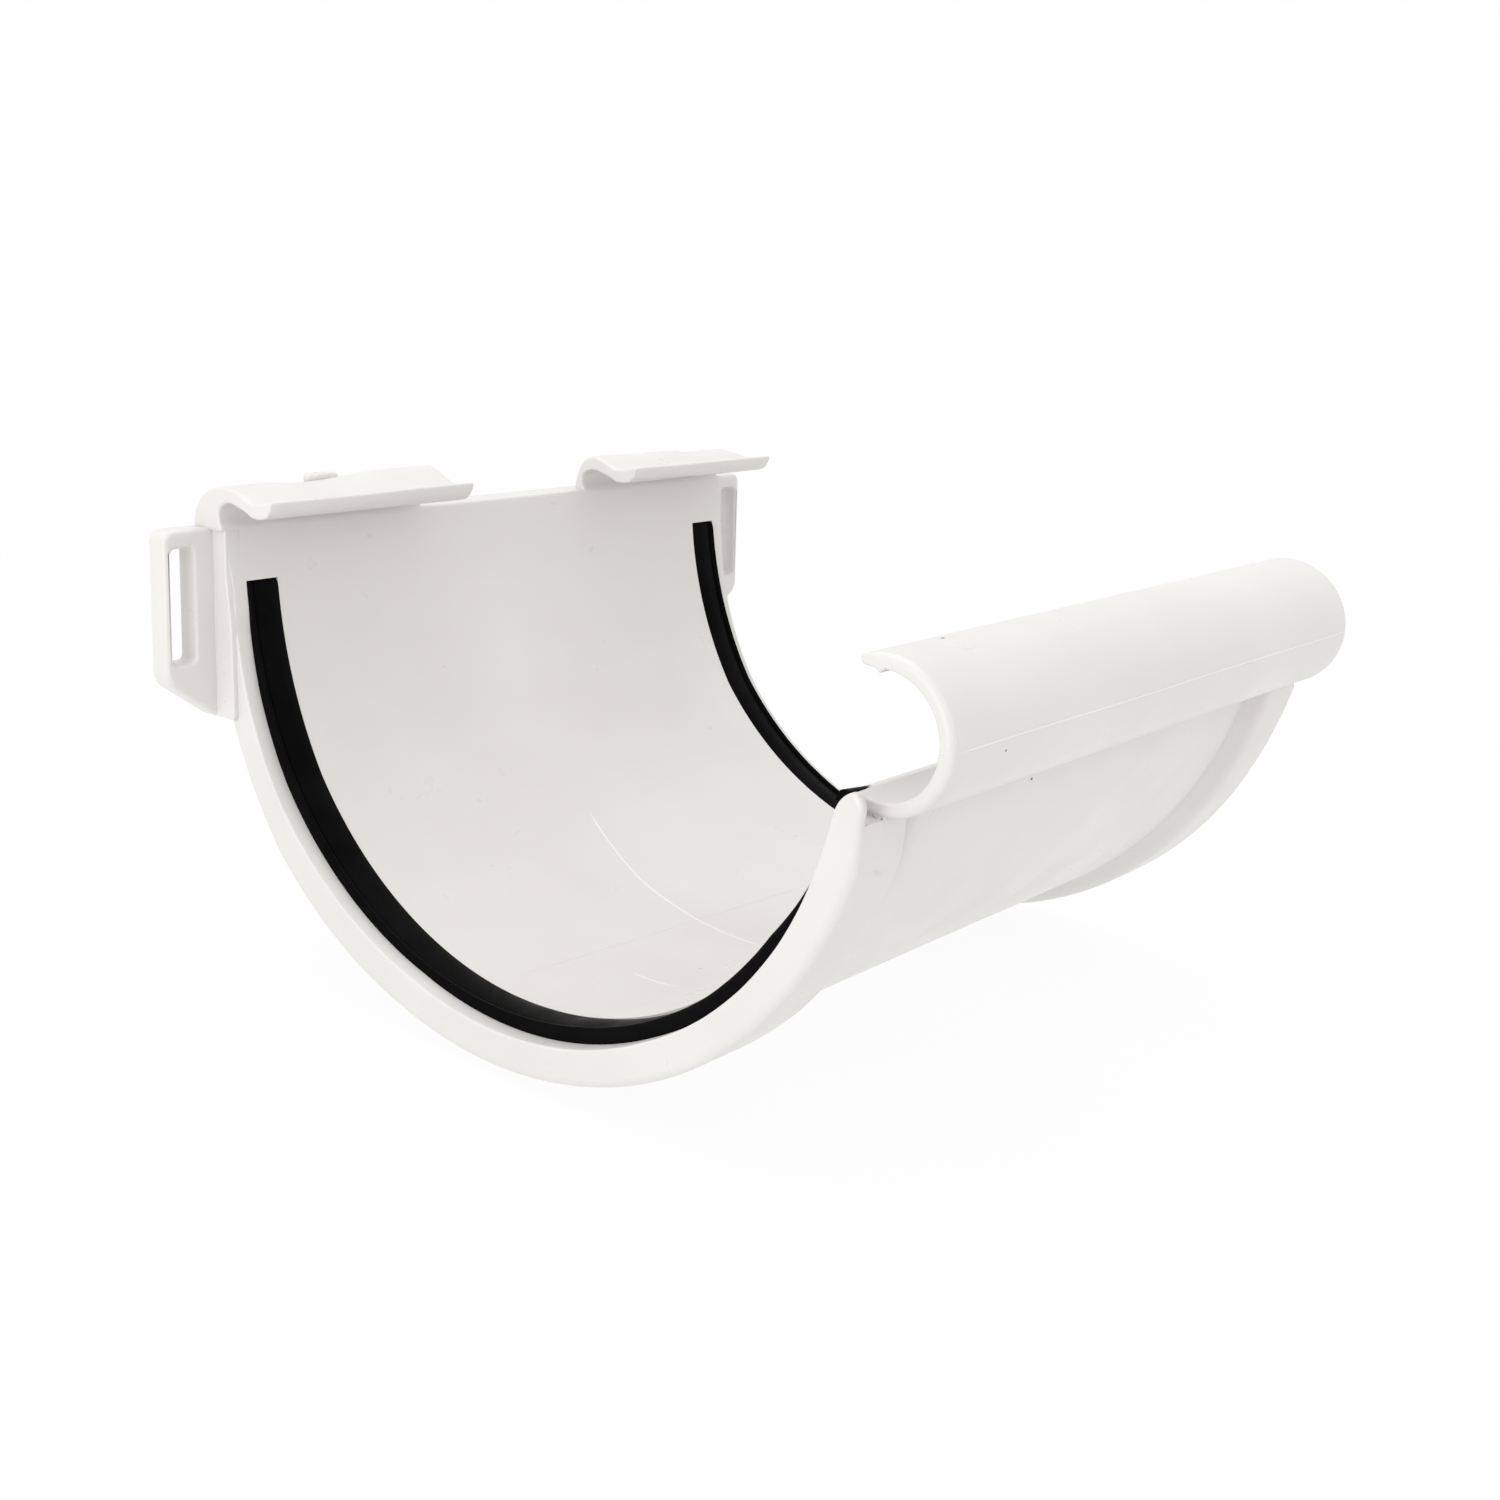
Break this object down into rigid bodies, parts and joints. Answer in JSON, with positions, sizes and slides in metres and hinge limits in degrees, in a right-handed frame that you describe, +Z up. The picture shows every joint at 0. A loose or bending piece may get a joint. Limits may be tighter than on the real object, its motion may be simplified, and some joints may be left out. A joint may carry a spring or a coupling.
{
  "type": "gutter_union",
  "caption": "Half-round gutter union with a rubber seal at each end, hooked clips along the back edge, a C-shaped front bead clip and slotted fixing ears",
  "frame": {"origin": "On the axis of the half-round trough, halfway between the two end faces", "axes": "+X along the gutter, +Y towards the fascia board, +Z up; the front bead is at -Y"},
  "size_m": [0.1422, 0.1475, 0.0813],
  "materials": {
    "white_pvc": "satin moulded PVC-U",
    "black_rubber": "glossy black rubber"
  },
  "bodies": {
    "root": {"union_body": "white_pvc", "seal_left": "black_rubber", "seal_right": "black_rubber"}
  },
  "joints": []
}
